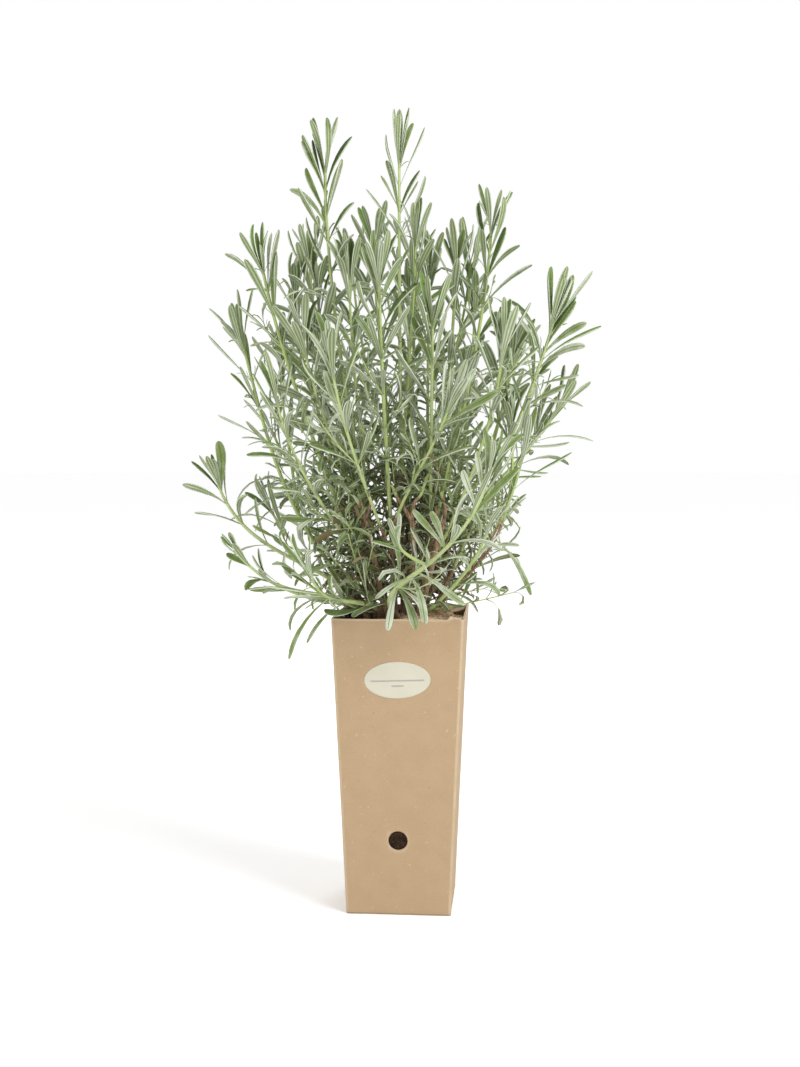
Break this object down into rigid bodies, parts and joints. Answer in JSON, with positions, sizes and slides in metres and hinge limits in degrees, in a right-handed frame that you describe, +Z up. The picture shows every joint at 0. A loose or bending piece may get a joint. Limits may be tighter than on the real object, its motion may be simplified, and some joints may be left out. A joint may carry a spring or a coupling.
{
  "type": "potted lavender",
  "caption": "Young lavender plant with upright leafy shoots, growing in a tall tapered square kraft carton with an oval label and a round drain hole.",
  "frame": {"origin": "middle of the carton's flat base, on the surface that it stands on", "axes": "+Z up; -Y out of the front panel, which has the label and the drain hole; +X to the right seen from the front"},
  "size_m": [0.3183, 0.2975, 0.6084],
  "materials": {
    "kraft_board": "matte",
    "label_paper": "satin",
    "potting_soil": "matte",
    "lavender_leaf": "matte"
  },
  "bodies": {
    "root": {"carton_pot": "kraft_board", "oval_label": "label_paper", "potting_soil": "potting_soil", "spray_left_leader": "lavender_leaf", "spray_centre_leader": "lavender_leaf", "spray_right_leader": "lavender_leaf", "spray_front_leader": "lavender_leaf", "spray_front_right": "lavender_leaf", "spray_front_arching": "lavender_leaf", "spray_left_outer": "lavender_leaf", "spray_left_upper": "lavender_leaf", "spray_left_arching": "lavender_leaf", "spray_left_low": "lavender_leaf", "spray_front_low": "lavender_leaf", "spray_right_outer": "lavender_leaf", "spray_right_low": "lavender_leaf", "spray_front_corner": "lavender_leaf", "spray_back_centre": "lavender_leaf", "spray_back_left": "lavender_leaf", "spray_back_right": "lavender_leaf", "spray_back_low": "lavender_leaf", "spray_back_low_left": "lavender_leaf", "spray_back_low_right": "lavender_leaf"}
  },
  "joints": []
}
